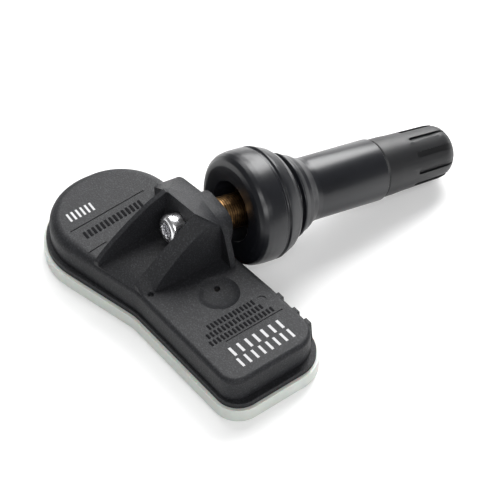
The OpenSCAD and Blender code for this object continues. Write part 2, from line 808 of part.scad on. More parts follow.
// Grip flutes with round starts, as deep on the rounded corner as on the side
module cap_flutes() {
    inner = cap_tip_r - cap_round;
    straight = flute_start + flute_w / 2;
    difference() {
        for (k = [0:flutes - 1])
            rotate(flute_phase + 360 * k / flutes) {
                translate([inner, -flute_w / 2, straight])
                    cube([cap_r - inner, flute_w, cap_end - straight + 1]);
                translate([inner, 0, straight])
                    rotate([0, 90, 0])
                        cylinder(d = flute_w, h = cap_r - inner, $fn = 24);
            }
        rotate_extrude($fn = 96)
            polygon(concat([[0, flute_start - 1], [cap_shoulder_r - flute_deep, flute_start - 1]],
                cap_corner(flute_deep), [[0, cap_end - flute_deep]]));
    }
}

module dust_cap() {
    color("#303034")
        on_axis()
            difference() {
                rotate_extrude($fn = 96)
                    polygon(concat([[cap_bore_r, cap_start], [cap_r - 0.2, cap_start], [cap_r, cap_start + 0.3],
                        [cap_r - 0.03, cap_start + 2.4], [cap_shoulder_r, cap_start + 4.4]],
                        cap_corner(0),
                        [[0, cap_end], [0, cap_ceiling + 1.4], [2.0, cap_ceiling + 1.4], [2.4, cap_ceiling],
                        [cap_bore_r, cap_ceiling]]));
                cap_flutes();
            }
}

module cap_seal() {
    color("#8a3b34")
        on_axis()
            translate([0, 0, cap_seal_at])
                difference() {
                    cylinder(r = cap_bore_r - slip, h = cap_seal_h - slip);
                    translate([0, 0, -1])
                        cylinder(r = core_r - 0.3, h = cap_seal_h + 2);
                }
}

module circuit_board() {
    notch = 2.0;
    color("#1f5a3c")
        on_arm()
            translate([board_left, board_front, board_low])
                linear_extrude(board_thick)
                    polygon([[0, 0], [board_len - notch, 0], [board_len, notch], [board_len, board_w - 3],
                        [board_len - 3, board_w], [14, board_w], [12, board_w - 1.2], [0, board_w - 1.2]]);
}

// Place on the board's top
module on_board(at) {
    translate([at[0], at[1], chip_low])
        children();
}

module sensor_chip() {
    chamfer = 0.3;
    color("#26262a")
        on_board(port_at)
            difference() {
                union() {
                    translate([-chip_side / 2, -chip_side / 2, 0])
                        cube([chip_side, chip_side, chip_h - chamfer]);
                    translate([-chip_side / 2 + chamfer, -chip_side / 2 + chamfer, 0])
                        cube([chip_side - 2 * chamfer, chip_side - 2 * chamfer, chip_h]);
                }
                translate([0, 0, chip_h - 0.6])
                    cylinder(d = port_d, h = 2);
            }
}

module port_seal() {
    color("#d9d2c0")
        on_board(port_at)
            translate([0, 0, chip_h])
                difference() {
                    cylinder(d = port_d + 2.2, h = port_seal_h);
                    translate([0, 0, -1])
                        cylinder(d = port_d, h = 4);
                }
}

// Ferrite bobbin with its winding
module wake_up_coil() {
    size = [7.4, 2.6, 1.9];
    flange = 0.9;
    color("#6b4a2e")
        on_arm()
            on_board([2.0, -6.4])
                union() {
                    cube([flange, size[1], size[2]]);
                    translate([size[0] - flange, 0, 0])
                        cube([flange, size[1], size[2]]);
                    translate([0, size[1] / 2, size[2] / 2])
                        rotate([0, 90, 0])
                            cylinder(r = size[2] / 2 - 0.15, h = size[0]);
                }
}

module crystal_can() {
    size = [3.2, 2.5];
    height = 0.9;
    color("#c9ccd0")
        on_arm()
            on_board([16.6, -5.6])
                union() {
                    cube([size[0], size[1], 0.25]);
                    translate([0.2, 0.2, 0])
                        cube([size[0] - 0.4, size[1] - 0.4, height]);
                }
}

module chip_capacitors() {
    size = [1.0, 0.6, 0.5];
    pitch = 1.3;
    color("#b79a6a")
        on_arm()
            for (k = [0:4])
                on_board([13.1 + 0.2 * (k % 2), -7.2 + k * pitch])
                    cube(size);
}

// Wire loop that stands on the board's end
module loop_antenna() {
    rise = 1.7;
    span = 8.0;
    color("#b5b7bb")
        on_arm()
            on_board([board_end - 1.4, -4.6])
                union() {
                    for (y = [0, span])
                        translate([0, y, 0])
                            cylinder(d = antenna_d, h = rise);
                    for (y = [0, span])
                        translate([0, y, rise])
                            sphere(d = antenna_d, $fn = 32);
                    translate([0, 0, rise])
                        rotate([-90, 0, 0])
                            cylinder(d = antenna_d, h = span);
                }
}

module button_cell() {
    step = 0.5;
    color("#c4c7cc")
        translate([lobe_x, lobe_y, cell_low])
            union() {
                cylinder(d = cell_d, h = cell_h - step);
                cylinder(d = cell_d - 2.2, h = cell_h);
            }
}

// Side profile of a tab that steps from one height to another, on the board's side of the cell
module stepped_tab(from_z, to_z) {
    reach = board_left - lobe_x;
    lean = 1.0;
    color("#b9bcc2")
        translate([lobe_x, lobe_y + tab_w / 2, 0])
            rotate([90, 0, 0])
                linear_extrude(tab_w)
                    polygon([[-4, from_z], [reach - 2.2, from_z], [reach - 2.2 + lean, to_z], [reach + 3.2, to_z],
                        [reach + 3.2, to_z + tab_thick], [reach - 2.2 + lean - 0.1, to_z + tab_thick],
                        [reach - 2.3, from_z + tab_thick], [-4, from_z + tab_thick]]);
}

module cell_tab_upper() {
    stepped_tab(cell_top, chip_low);
}

module cell_tab_lower() {
    stepped_tab(floor_thick, board_low - tab_thick);
}

housing();
base_cover();
sealing_bead();
mounting_screw();
valve_stem();
valve_rubber();
core_barrel();
core_barrel_seal();
core_pin();
core_seal_cup();
core_spring();
dust_cap();
cap_seal();
circuit_board();
sensor_chip();
port_seal();
wake_up_coil();
crystal_can();
chip_capacitors();
loop_antenna();
button_cell();
cell_tab_upper();
cell_tab_lower();
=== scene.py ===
"""Studio scene of a tyre pressure sensor with its snap-in valve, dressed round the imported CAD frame."""
import math

import bmesh
import bpy
from mathutils import Matrix, Vector


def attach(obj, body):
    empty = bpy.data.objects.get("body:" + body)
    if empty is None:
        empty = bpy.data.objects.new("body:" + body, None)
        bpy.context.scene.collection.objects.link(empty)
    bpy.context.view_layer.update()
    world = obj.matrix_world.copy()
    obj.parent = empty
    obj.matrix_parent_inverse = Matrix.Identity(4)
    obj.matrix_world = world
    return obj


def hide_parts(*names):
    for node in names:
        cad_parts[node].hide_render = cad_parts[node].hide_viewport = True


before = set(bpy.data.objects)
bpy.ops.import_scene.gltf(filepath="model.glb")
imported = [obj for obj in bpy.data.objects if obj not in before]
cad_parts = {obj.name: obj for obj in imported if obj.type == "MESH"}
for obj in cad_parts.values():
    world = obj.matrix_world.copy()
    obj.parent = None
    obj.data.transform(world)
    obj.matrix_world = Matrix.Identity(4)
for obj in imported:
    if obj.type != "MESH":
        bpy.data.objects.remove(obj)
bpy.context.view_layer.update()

bl_info = {
    "name": "Tyre pressure sensor",
    "version": (1, 0, 0),
    "blender": (4, 5, 0),
    "location": "View3D > Sidebar > Sensor",
    "description": "Builds the looks of a tyre pressure sensor round its CAD frame",
    "category": "Object",
}

MM = 0.001
FULL_TURN = 2 * math.pi

# Slack for telling whether a point lies at a height
HAIR = 0.02 * MM

# Frame of the valve: local +Z runs along the valve, local +Y points down
AXIS_HEIGHT = 13.58 * MM
AXIS_DIP = math.radians(9.85)
VALVE = Matrix.Translation((0, 0, AXIS_HEIGHT)) @ Matrix.Rotation(-math.pi / 2 - AXIS_DIP, 4, "X")

# Frames of the body: the arm's is turned with it, the lobe's is the object's own
ARM = Matrix.Rotation(math.radians(5.3), 4, "Z")
LOBE = Matrix()
TOP = 8.0 * MM
RIM_TOP = 3.75 * MM

# Holes of the bracket round the valve axis, whose edges stay sharp
BRACKET_HOLE_RADIUS = 3.5 * MM
BRACKET_HOLE_END = 7.2 * MM

# Shallow dish in the arm's top, in the arm's frame
DISH_CENTRE = (10.8 * MM, 0.3 * MM, 0)
DISH_RADIUS = 3.5 * MM
DISH_DEPTH = 0.9 * MM
DISH_SINK = 0.2 * MM

# Nubs along the arm's back edge, in the arm's frame: where they stand and how much their tips give way
NUBS_FROM = 15.0 * MM
NUBS_TO = 24.4 * MM
NUB_ROOT = 5.5 * MM
NUB_TIP = 7.3 * MM
NUB_TRIM = 0.35 * MM

# Thread of the stem, round the valve axis
THREAD_CREST = 3.85 * MM
THREAD_ROOT = 3.42 * MM
THREAD_FROM = 34.9 * MM
THREAD_TO = 49.2 * MM
THREAD_STEPS = 36

# Dust cap: its mouth, where its flutes begin, and the ring that its rounded end is struck from
CAP_MOUTH = 38.5 * MM
CAP_SKIRT_RADIUS = 4.5 * MM
FLUTES_FROM = 43.5 * MM
CAP_CENTRE_RADIUS = 1.5 * MM
CAP_RING_RADIUS = 1.45 * MM
CAP_RING_AT = 49.9 * MM
CAP_ROUNDING = 3.2 * MM
FLUTE_RUN_OUT = 0.9

# Rubber's profile and its bore, bonded to the stem: radius and station along the valve, in millimetres
RUBBER = (
    (5.0, 9.6), (7.4, 9.6), (8.3, 9.8), (8.88, 10.22), (9.22, 10.85), (9.36, 11.7), (9.4, 12.6),
    (9.4, 14.3), (9.08, 14.5), (9.08, 14.85), (9.4, 15.1), (9.12, 15.9), (8.6, 17.2), (8.0, 18.0),
    (7.4, 18.35), (6.35, 18.55), (6.35, 19.25), (7.1, 19.35), (7.2, 19.6), (6.65, 20.6), (6.4, 21.4),
    (5.9, 22.2), (5.45, 23.0), (5.28, 24.0), (5.27, 25.0), (5.27, 37.4), (3.87, 37.4), (3.87, 34.8),
    (3.62, 34.4), (3.62, 15.7), (4.32, 15.2), (4.32, 13.2), (4.6, 13.2))
RUBBER_STEPS = 144

# Rows of plain bars on the top, in millimetres: frame, start, end, count, size along x and y
PRINTED_ROWS = (
    (ARM, (21.8, -6.9), (21.8, 3.7), 7, (1.85, 0.46)),
    (ARM, (24.2, -7.15), (24.2, 3.8), 8, (1.85, 0.42)),
    (LOBE, (-16.0, -11.6), (-16.5, -6.4), 6, (1.9, 0.36)))
PRINT_RISE = 0.015
MOULDED_ROWS = (
    (ARM, (15.7, -6.4), (15.7, 2.7), 13, (0.95, 0.32)),
    (ARM, (17.15, -7.6), (17.15, 3.2), 15, (0.95, 0.32)),
    (ARM, (18.6, -8.1), (18.6, 4.2), 17, (0.95, 0.32)),
    (LOBE, (-11.1, -11.2), (-12.9, 0.6), 14, (1.5, 0.42)))
MOULDED_RISE = 0.09
BAR_SUNK = 0.02

# Camera fitted to the photograph
CAMERA_AT = Vector((175.96, -98.72, 214.61)) * MM
CAMERA_AIM = Vector((-0.94, 13.74, 0.0)) * MM
CAMERA_LENS = 131.28

# Lights, in metres: where each stands, where it is aimed, its width and height
LIGHTS = {
    "key": ((-0.36, 0.1, 0.55), (0, 0.01, 0), (0.4, 0.4)),
    "band": ((-0.31, 0.44, 0.53), (0, 0.01, 0), (0.3, 0.42)),
    "rim": ((-0.45, 0.5, 0.28), (0, 0.01, 0.01), (0.5, 0.15)),
    "fill": ((0.42, -0.26, 0.68), (0, 0.01, 0), (0.3, 0.12)),
    "edge": ((0.62, -0.1, 0.36), (0, 0.01, 0.01), (0.5, 0.12)),
}

# Floor: half its width in metres, how far it lies below the cover, its glow and its paler shade
FLOOR_REACH = 3.0
FLOOR_DROP = 0.03 * MM
FLOOR_GLOW = (0.24, 0.24, 0.24)
FLOOR_PALE = (0.86, 0.86, 0.86)


# Materials

class Value:
    """A socket that carries a number; arithmetic on it adds Math nodes."""

    def __init__(self, nodes, socket):
        self.nodes = nodes
        self.socket = socket

    def maths(self, operation, *operands):
        node = self.nodes.add("ShaderNodeMath", {"operation": operation}, dict(enumerate(operands)))
        return Value(self.nodes, node.outputs[0])

    def sine(self):
        return self.maths("SINE", self)

    def __add__(self, other):
        return self.maths("ADD", self, other)

    __radd__ = __add__

    def __sub__(self, other):
        return self.maths("SUBTRACT", self, other)

    def __rsub__(self, other):
        return self.maths("SUBTRACT", other, self)

    def __mul__(self, other):
        return self.maths("MULTIPLY", self, other)

    __rmul__ = __mul__

    def rise(self, low, high):
        """Smooth step from 0 at low to 1 at high."""
        node = self.nodes.add("ShaderNodeMapRange", {"interpolation_type": "SMOOTHSTEP"},
                              {"Value": self, "From Min": low, "From Max": high})
        return Value(self.nodes, node.outputs[0])


class NodeTree:
    """A node tree being filled, whose nodes all come from one method."""

    def __init__(self, owner):
        owner.use_nodes = True
        self.tree = owner.node_tree
        self.tree.nodes.clear()

    def add(self, kind, settings=None, inputs=None):
        """Adds a node: its settings first, then the values or links of its sockets."""
        node = self.tree.nodes.new(kind)
        for key, value in (settings or {}).items():
            setattr(node, key, value)
        for key, value in (inputs or {}).items():
            source = value.socket if isinstance(value, Value) else value
            if isinstance(source, bpy.types.NodeSocket):
                self.tree.links.new(source, node.inputs[key])
            else:
                node.inputs[key].default_value = source
        return node

    def rays(self, *kinds):
        """1 where the ray is one of the kinds, such as "Is Camera Ray"."""
        path = self.add("ShaderNodeLightPath")
        total = Value(self, path.outputs[kinds[0]])
        for kind in kinds[1:]:
            total = total.maths("MAXIMUM", total, Value(self, path.outputs[kind]))
        return total


class Finish(NodeTree):
    """A material being made round one principled shader."""

    def __init__(self, name, **constants):
        self.material = bpy.data.materials.new(name)
        super().__init__(self.material)
        fixed = {key.replace("_", " "): value for key, value in constants.items()}
        self.shader = self.add("ShaderNodeBsdfPrincipled", {}, fixed)
        self.add("ShaderNodeOutputMaterial", {}, {"Surface": self.shader.outputs[0]})
        self.place = self.add("ShaderNodeTexCoord").outputs["Object"]

    def noise(self, size, detail, stretch=(1, 1, 1)):
        """Noise between about 0 and 1, with features of the given size in metres."""
        mapped = self.add("ShaderNodeMapping", {}, {"Vector": self.place, "Scale": stretch})
        node = self.add("ShaderNodeTexNoise", {},
                        {"Vector": mapped.outputs[0], "Scale": 1 / size, "Detail": detail})
        return Value(self, node.outputs[0])

    def blend(self, factor, first, second):
        """Colour between two colours; the Mix node's colour sockets are 6, 7 and 2."""
        node = self.add("ShaderNodeMix", {"data_type": "RGBA"}, {0: factor, 6: first, 7: second})
        return node.outputs[2]

    def paint(self, **links):
        """Connects varying values to the shader's sockets."""
        for key, value in links.items():
            source = value.socket if isinstance(value, Value) else value
            self.tree.links.new(source, self.shader.inputs[key.replace("_", " ")])
        return self

    def relief(self, height, depth):
        """A bump of the given depth in metres."""
        node = self.add("ShaderNodeBump", {}, {"Height": height, "Distance": depth, "Strength": 1.0})
        self.tree.links.new(node.outputs[0], self.shader.inputs["Normal"])
        return self


def shades(tone, low, high):
    """A darker and a lighter version of a colour, as the two ends of a blend."""
    return tuple((*(min(1.0, c * k) for c in tone), 1) for k in (low, high))


def grained_nylon(name, tone):
    """Spark-eroded black nylon: fine pale specks on dark, in soft uneven patches."""
    f = Finish(name, Specular_IOR_Level=0.26)
    cloud = f.noise(4.0 * MM, 3)
    fine = f.noise(0.24 * MM, 3)
    specks = fine.rise(0.48, 0.7)
    colour = f.blend(specks * 0.75 + cloud * 0.25, *shades(tone, 0.75, 2.3))
    f.paint(Base_Color=colour, Roughness=0.5 + cloud * 0.08 - specks * 0.08)
    return f.relief(fine + cloud * 0.4, 0.05 * MM).material


def soft_rubber(name, tone, roughness, streak=(1, 1, 1)):
    """Black moulded rubber: smooth skin with faint flow marks and dulled places."""
    f = Finish(name, Specular_IOR_Level=0.5)
    cloud = f.noise(2.6 * MM, 3, streak)
    fine = f.noise(0.3 * MM, 2, streak)
    colour = f.blend(cloud, *shades(tone, 0.8, 1.35))
    f.paint(Base_Color=colour, Roughness=roughness + cloud * 0.1 + fine * 0.06)
    return f.relief(fine * 0.25 + cloud * 0.75, 0.008 * MM).material


def metal(name, tone, roughness, worn=0.12):
    """Turned or plated metal with faint spots and dulled places."""
    f = Finish(name, Metallic=1.0)
    cloud = f.noise(1.1 * MM, 4)
    fine = f.noise(0.12 * MM, 2)
    spots = cloud.rise(0.4, 0.7)
    f.paint(Base_Color=f.blend(spots, *shades(tone, 1.0, 0.7)), Roughness=roughness + cloud * worn)
    return f.relief(fine, 0.006 * MM).material


def tarnished_brass(name, tone):
    """Turned brass with tool rings round the valve axis and brown tarnish."""
    f = Finish(name, Metallic=1.0)
    turned = f.add("ShaderNodeMapping", {},
                   {"Vector": f.place, "Rotation": (math.pi / 2 + AXIS_DIP, 0, 0)})
    parts = f.add("ShaderNodeSeparateXYZ", {}, {"Vector": turned.outputs[0]})
    station = Value(f, parts.outputs[2])
    ring_spacing = 0.42 * MM
    rings = (station * (FULL_TURN / ring_spacing)).sine()
    cloud = f.noise(1.4 * MM, 4)
    tarnish = (cloud + rings * 0.06).rise(0.38, 0.62)
    brown = (0.10, 0.055, 0.025, 1)
    f.paint(Base_Color=f.blend(tarnish, (*tone, 1), brown), Roughness=0.26 + cloud * 0.2)
    return f.relief(rings * 0.4 + cloud * 0.5, 0.02 * MM).material


def plain_moulding(name, tone, roughness=0.45, **constants):
    """Any other small moulded or ceramic part: slightly uneven colour and a fine skin."""
    f = Finish(name, **constants)
    cloud = f.noise(1.8 * MM, 3)
    fine = f.noise(0.2 * MM, 2)
    f.paint(Base_Color=f.blend(cloud, *shades(tone, 0.9, 1.07)), Roughness=roughness + fine * 0.08)
    return f.relief(fine, 0.012 * MM).material


# Meshes

def finished(bm, name, material, body, smooth_angle=32):
    """Turns a bmesh into a piece that rides on a body, smooth except across sharp edges."""
    limit = math.radians(smooth_angle)
    for face in bm.faces:
        face.smooth = True
    for edge in bm.edges:
        edge.smooth = len(edge.link_faces) == 2 and edge.calc_face_angle(math.pi) < limit
    mesh = bpy.data.meshes.new(name)
    bm.to_mesh(mesh)
    bm.free()
    piece = bpy.data.objects.new(name, mesh)
    bpy.context.scene.collection.objects.link(piece)
    mesh.materials.append(material)
    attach(piece, body)
    return piece


def copied(node):
    """Merged copy of a CAD node's mesh."""
    bm = bmesh.new()
    bm.from_mesh(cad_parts[node].data)
    bmesh.ops.remove_doubles(bm, verts=bm.verts, dist=0.0005 * MM)
    bmesh.ops.dissolve_limit(bm, angle_limit=math.radians(0.4), verts=bm.verts, edges=bm.edges)
    return bm


def dress(node, material):
    """Gives a CAD node that stays a finished material."""
    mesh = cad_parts[node].data
    if mesh.materials:
        for k in range(len(mesh.materials)):
            mesh.materials[k] = material
    else:
        mesh.materials.append(material)


def lathe(profile, steps, rounding):
    """Closed profile of radius and station in millimetres, its corners rounded, spun round the valve."""
    bm = bmesh.new()
    verts = [bm.verts.new((r * MM, 0, z * MM)) for r, z in profile]
    for pair in zip(verts, verts[1:] + verts[:1]):
        bm.edges.new(pair)
    bmesh.ops.bevel(bm, geom=verts, offset=rounding, offset_type="OFFSET", segments=3, profile=0.5,
                    affect="VERTICES", clamp_overlap=True, material=-1)
    bmesh.ops.spin(bm, geom=list(bm.verts) + list(bm.edges), cent=(0, 0, 0), axis=(0, 0, 1),
                   angle=FULL_TURN, steps=steps, use_merge=True, use_duplicate=False)
    bmesh.ops.remove_doubles(bm, verts=bm.verts, dist=0.001 * MM)
    bmesh.ops.recalc_face_normals(bm, faces=bm.faces)
    bm.transform(VALVE)
    return bm


def convex_edges(bm, wanted, over):
    """Edges whose middle is wanted and that stand out over an angle in degrees."""
    limit = math.radians(over)
    return [e for e in bm.edges if len(e.link_faces) == 2 and e.calc_face_angle_signed() > limit
            and wanted((e.verts[0].co + e.verts[1].co) / 2)]


def soften(bm, edges, width, segments=2):
    """Rounds edges over a width in metres."""
    bmesh.ops.bevel(bm, geom=edges, offset=width, offset_type="OFFSET", segments=segments, profile=0.5,
                    affect="EDGES", clamp_overlap=True, material=-1)


def off_axis(point):
    """Distance of a point from the valve axis, and its station along it."""
    local = VALVE.inverted() @ point
    return math.hypot(local.x, local.y), local.z


def even_shading(piece):
    """Keeps the broad faces flat beside their soft edges."""
    weights = piece.modifiers.new("even_shading", "WEIGHTED_NORMAL")
    weights.keep_sharp = True
    weights.weight = 100


def bars(rows, rise):
    """Bmesh of rows of plain bars that stand a rise in millimetres above the top."""
    bm = bmesh.new()
    for turned, start, end, count, size in rows:
        for k in range(count):
            along = Vector(start).lerp(Vector(end), (k + 0.5) / count)
            height = TOP + (rise - BAR_SUNK) * MM / 2
            place = turned @ Matrix.Translation((along.x * MM, along.y * MM, height))
            scale = Matrix.Diagonal((size[0] * MM, size[1] * MM, (rise + BAR_SUNK) * MM, 1))
            bmesh.ops.create_cube(bm, size=1.0, matrix=place @ scale)
    return bm


# Settings

class BodySettings(bpy.types.PropertyGroup):
    nylon: bpy.props.FloatVectorProperty(
        name="Nylon", description="Colour of the moulded housing", subtype="COLOR", size=3,
        default=(0.014, 0.0145, 0.0165))
    cover: bpy.props.FloatVectorProperty(
        name="Cover", description="Colour of the base cover", subtype="COLOR", size=3,
        default=(0.63, 0.665, 0.625))
    ink: bpy.props.FloatVectorProperty(
        name="Ink", description="Colour of the plain printed bars", subtype="COLOR", size=3,
        default=(0.55, 0.55, 0.56))


class ValveSettings(bpy.types.PropertyGroup):
    rubber: bpy.props.FloatVectorProperty(
        name="Rubber", description="Colour of the rubber bulb and sleeve", subtype="COLOR", size=3,
        default=(0.0065, 0.0071, 0.0095))
    cap: bpy.props.FloatVectorProperty(
        name="Cap", description="Colour of the dust cap", subtype="COLOR", size=3,
        default=(0.008, 0.0082, 0.0095))
    brass: bpy.props.FloatVectorProperty(
        name="Brass", description="Colour of the stem", subtype="COLOR", size=3,
        default=(0.34, 0.20, 0.085))
    thread_pitch: bpy.props.FloatProperty(
        name="Thread pitch", description="Pitch of the thread under the cap", subtype="DISTANCE",
        default=0.79375 * MM)


class StageSettings(bpy.types.PropertyGroup):
    floor: bpy.props.FloatVectorProperty(
        name="Floor", description="Colour of the studio floor", subtype="COLOR", size=3,
        default=(0.8, 0.8, 0.8))
    key_power: bpy.props.FloatProperty(
        name="Key light", description="Power of the large light on the lobe's side", subtype="POWER",
        default=2.5)
    band_power: bpy.props.FloatProperty(
        name="Band light", description="Power of the light that lies along the sleeve as a band",
        subtype="POWER", default=4.4)
    rim_power: bpy.props.FloatProperty(
        name="Rim light", description="Power of the low strip behind the lobe", subtype="POWER",
        default=2.2)
    fill_power: bpy.props.FloatProperty(
        name="Fill light", description="Power of the small light in front and above", subtype="POWER",
        default=1.2)
    edge_power: bpy.props.FloatProperty(
        name="Edge light", description="Power of the strip that lights the edges on the arm's side",
        subtype="POWER", default=1.8)
    air: bpy.props.FloatProperty(
        name="Air", description="Strength of the even light from all round", default=0.2, min=0.0)


# Housing and its bars

def on_bracket(point):
    """Whether a point is on the bracket, apart from the edges of its holes."""
    radius, station = off_axis(point)
    in_a_hole = radius < BRACKET_HOLE_RADIUS and 0 < station < BRACKET_HOLE_END
    return point.z > TOP + 0.15 * MM and not in_a_hole


def on_rim(point):
    """Whether a point is on the top edge of the rim."""
    return abs(point.z - RIM_TOP) < HAIR


def on_a_nub(point):
    """Whether a point is on one of the small nubs on the arm's back edge."""
    turned = ARM.inverted() @ point
    along = NUBS_FROM < turned.x < NUBS_TO and turned.y > NUB_ROOT
    return along and RIM_TOP + 0.4 * MM < point.z < TOP + 0.4 * MM


def sharpen_dish(bm):
    """Lowers the inside of the shallow dish, so that its wall stands steeper at the edge."""
    centre = ARM @ Vector(DISH_CENTRE)
    for vert in bm.verts:
        away = (vert.co.xy - centre.xy).length
        if away < DISH_RADIUS and TOP - DISH_DEPTH < vert.co.z < TOP - HAIR:
            vert.co.z -= DISH_SINK


def trim_nubs(bm):
    """Moves the nubs' tips in towards the arm."""
    for vert in bm.verts:
        if on_a_nub(vert.co) and (ARM.inverted() @ vert.co).y > NUB_TIP:
            vert.co -= ARM @ Vector((0, NUB_TRIM, 0))


def bevelled_housing():
    """The housing's shell, with the edges of its bracket, rim and nubs softened."""
    bm = copied("housing")
    raised = [v for v in bm.verts if v.co.z > TOP + 0.1 * MM]
    bmesh.ops.remove_doubles(bm, verts=raised, dist=0.12 * MM)
    bmesh.ops.dissolve_degenerate(bm, dist=HAIR, edges=bm.edges)
    soften(bm, convex_edges(bm, on_bracket, over=24), width=0.24 * MM, segments=3)
    sharpen_dish(bm)
    soften(bm, convex_edges(bm, on_rim, over=50), width=0.15 * MM)
    trim_nubs(bm)
    soften(bm, convex_edges(bm, on_a_nub, over=60), width=0.4 * MM, segments=3)
    return bm


class SENSOR_OT_housing(bpy.types.Operator):
    """Build the moulded housing and its base cover"""
    bl_idname = "sensor.housing"
    bl_label = "Housing and base cover"

    def execute(self, context):
        settings = context.scene.sensor_body
        nylon = grained_nylon("grained_nylon", settings.nylon)
        shell = finished(bevelled_housing(), "moulded_housing", nylon, "sensor")
        even_shading(shell)
        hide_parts("housing")
        pale = plain_moulding("pale_cover", settings.cover, roughness=0.32, Subsurface_Weight=0.3,
                              Subsurface_Scale=2 * MM)
        cover = finished(copied("base_cover"), "pale_base_cover", pale, "sensor")
        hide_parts("base_cover")
        dress("sealing_bead", plain_moulding("bead_silicone", (0.03, 0.04, 0.04)))
        return {"FINISHED"}


class SENSOR_OT_markings(bpy.types.Operator):
    """Print the rows of plain white bars and mould the rows of plain raised bars"""
    bl_idname = "sensor.markings"
    bl_label = "Plain bars"

    def execute(self, context):
        ink = plain_moulding("pale_ink", context.scene.sensor_body.ink, roughness=0.55)
        finished(bars(PRINTED_ROWS, PRINT_RISE), "printed_bars", ink, "sensor")
        # The raised bars are moulded in the housing's own nylon; their darker, duller colour is painted
        # shade for the shadows round the raised letters.
        shade_darkened_bars = plain_moulding("darker_nylon", (0.01, 0.01, 0.0115), roughness=0.8,
                               Specular_IOR_Level=0.08)
        finished(bars(MOULDED_ROWS, MOULDED_RISE), "moulded_bars", shade_darkened_bars, "sensor")
        return {"FINISHED"}


# Valve

def threaded_stem(pitch):
    """The brass stem, its screwed end cut down to the root and given one helical ridge."""
    bm = copied("valve_stem")
    for vert in bm.verts:
        radius, station = off_axis(vert.co)
        if radius > THREAD_CREST - 0.2 * MM and station > THREAD_FROM - 0.3 * MM:
            local = VALVE.inverted() @ vert.co
            shrink = THREAD_ROOT / radius
            vert.co = VALVE @ Vector((local.x * shrink, local.y * shrink, local.z))
    ridge = bmesh.new()
    foot, half, tip = THREAD_ROOT - 0.1 * MM, 0.42 * pitch, 0.07 * pitch
    section = ((foot, -half), (THREAD_ROOT, -half), (THREAD_CREST, -tip), (THREAD_CREST, tip),
               (THREAD_ROOT, half), (foot, half))
    verts = [ridge.verts.new((r, 0, THREAD_FROM + 0.5 * pitch + z)) for r, z in section]
    face = ridge.faces.new(verts)
    turns = int((THREAD_TO - THREAD_FROM) / pitch) - 1
    bmesh.ops.spin(ridge, geom=list(ridge.verts) + list(ridge.edges) + [face], cent=(0, 0, 0),
                   axis=(0, 0, 1), dvec=(0, 0, pitch / THREAD_STEPS), angle=FULL_TURN * turns,
                   steps=THREAD_STEPS * turns, use_merge=False, use_duplicate=False)
    bmesh.ops.recalc_face_normals(ridge, faces=ridge.faces)
    ridge.transform(VALVE)
    spare = bpy.data.meshes.new("thread_ridge")
    ridge.to_mesh(spare)
    ridge.free()
    bm.from_mesh(spare)
    bpy.data.meshes.remove(spare)
    return bm


def ease_flutes(bm):
    """Lets the cap's flutes run out where they turn over its rounded end."""
    for vert in bm.verts:
        local = VALVE.inverted() @ vert.co
        radius = math.hypot(local.x, local.y)
        outward, upward = radius - CAP_RING_RADIUS, local.z - CAP_RING_AT
        depth = CAP_ROUNDING - math.hypot(outward, upward)
        if upward > -1 * MM and outward > 0 and 0.05 * MM < depth < 1 * MM:
            faded = min(1, max(0, math.atan2(upward, outward) / FLUTE_RUN_OUT + 0.1))
            growth = (CAP_ROUNDING - depth * (1 - faded)) / (CAP_ROUNDING - depth)
            grown = (CAP_RING_RADIUS + outward * growth) / radius
            vert.co = VALVE @ Vector((local.x * grown, local.y * grown, CAP_RING_AT + upward * growth))


def on_flutes(point):
    """Whether a point is on the fluted half of the cap."""
    radius, station = off_axis(point)
    return station > FLUTES_FROM and radius > CAP_CENTRE_RADIUS


def on_cap_mouth(point):
    """Whether a point is on the outer edge of the cap's mouth."""
    radius, station = off_axis(point)
    return station < CAP_MOUTH and radius > CAP_SKIRT_RADIUS


class SENSOR_OT_valve(bpy.types.Operator):
    """Build the rubber, the stem and the dust cap"""
    bl_idname = "sensor.valve"
    bl_label = "Valve"

    def execute(self, context):
        settings = context.scene.sensor_valve
        skin = soft_rubber("valve_rubber_skin", settings.rubber, roughness=0.24)
        rubber = finished(lathe(RUBBER, RUBBER_STEPS, rounding=0.12 * MM), "rubber_bulb_and_sleeve", skin,
                          "sensor", smooth_angle=40)
        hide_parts("valve_rubber")
        grip = copied("dust_cap")
        ease_flutes(grip)
        soften(grip, convex_edges(grip, on_flutes, over=30), width=0.09 * MM)
        soften(grip, convex_edges(grip, on_cap_mouth, over=60), width=0.22 * MM)
        plastic = soft_rubber("cap_skin", settings.cap, roughness=0.38, streak=(1, 0.25, 1))
        cap = finished(grip, "grip_cap", plastic, "cap")
        even_shading(cap)
        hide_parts("dust_cap")
        brass = tarnished_brass("stem_brass", settings.brass)
        stem = finished(threaded_stem(settings.thread_pitch), "brass_stem", brass, "sensor")
        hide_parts("valve_stem")
        return {"FINISHED"}


# Screw and inner parts

def on_screw_head(point):
    """Whether a point is on the screw's head, in front of its seat."""
    return off_axis(point)[1] < -1.0 * MM


class SENSOR_OT_fasteners(bpy.types.Operator):
    """Finish the mounting screw"""
    bl_idname = "sensor.fasteners"
    bl_label = "Mounting screw"

    def execute(self, context):
        head = copied("mounting_screw")
        soften(head, convex_edges(head, on_screw_head, over=40), width=0.06 * MM)
        plating = metal("bright_plating", (0.9, 0.9, 0.92), roughness=0.22, worn=0.1)
        screw = finished(head, "bright_screw", plating, "sensor")
        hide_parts("mounting_screw")
        return {"FINISHED"}


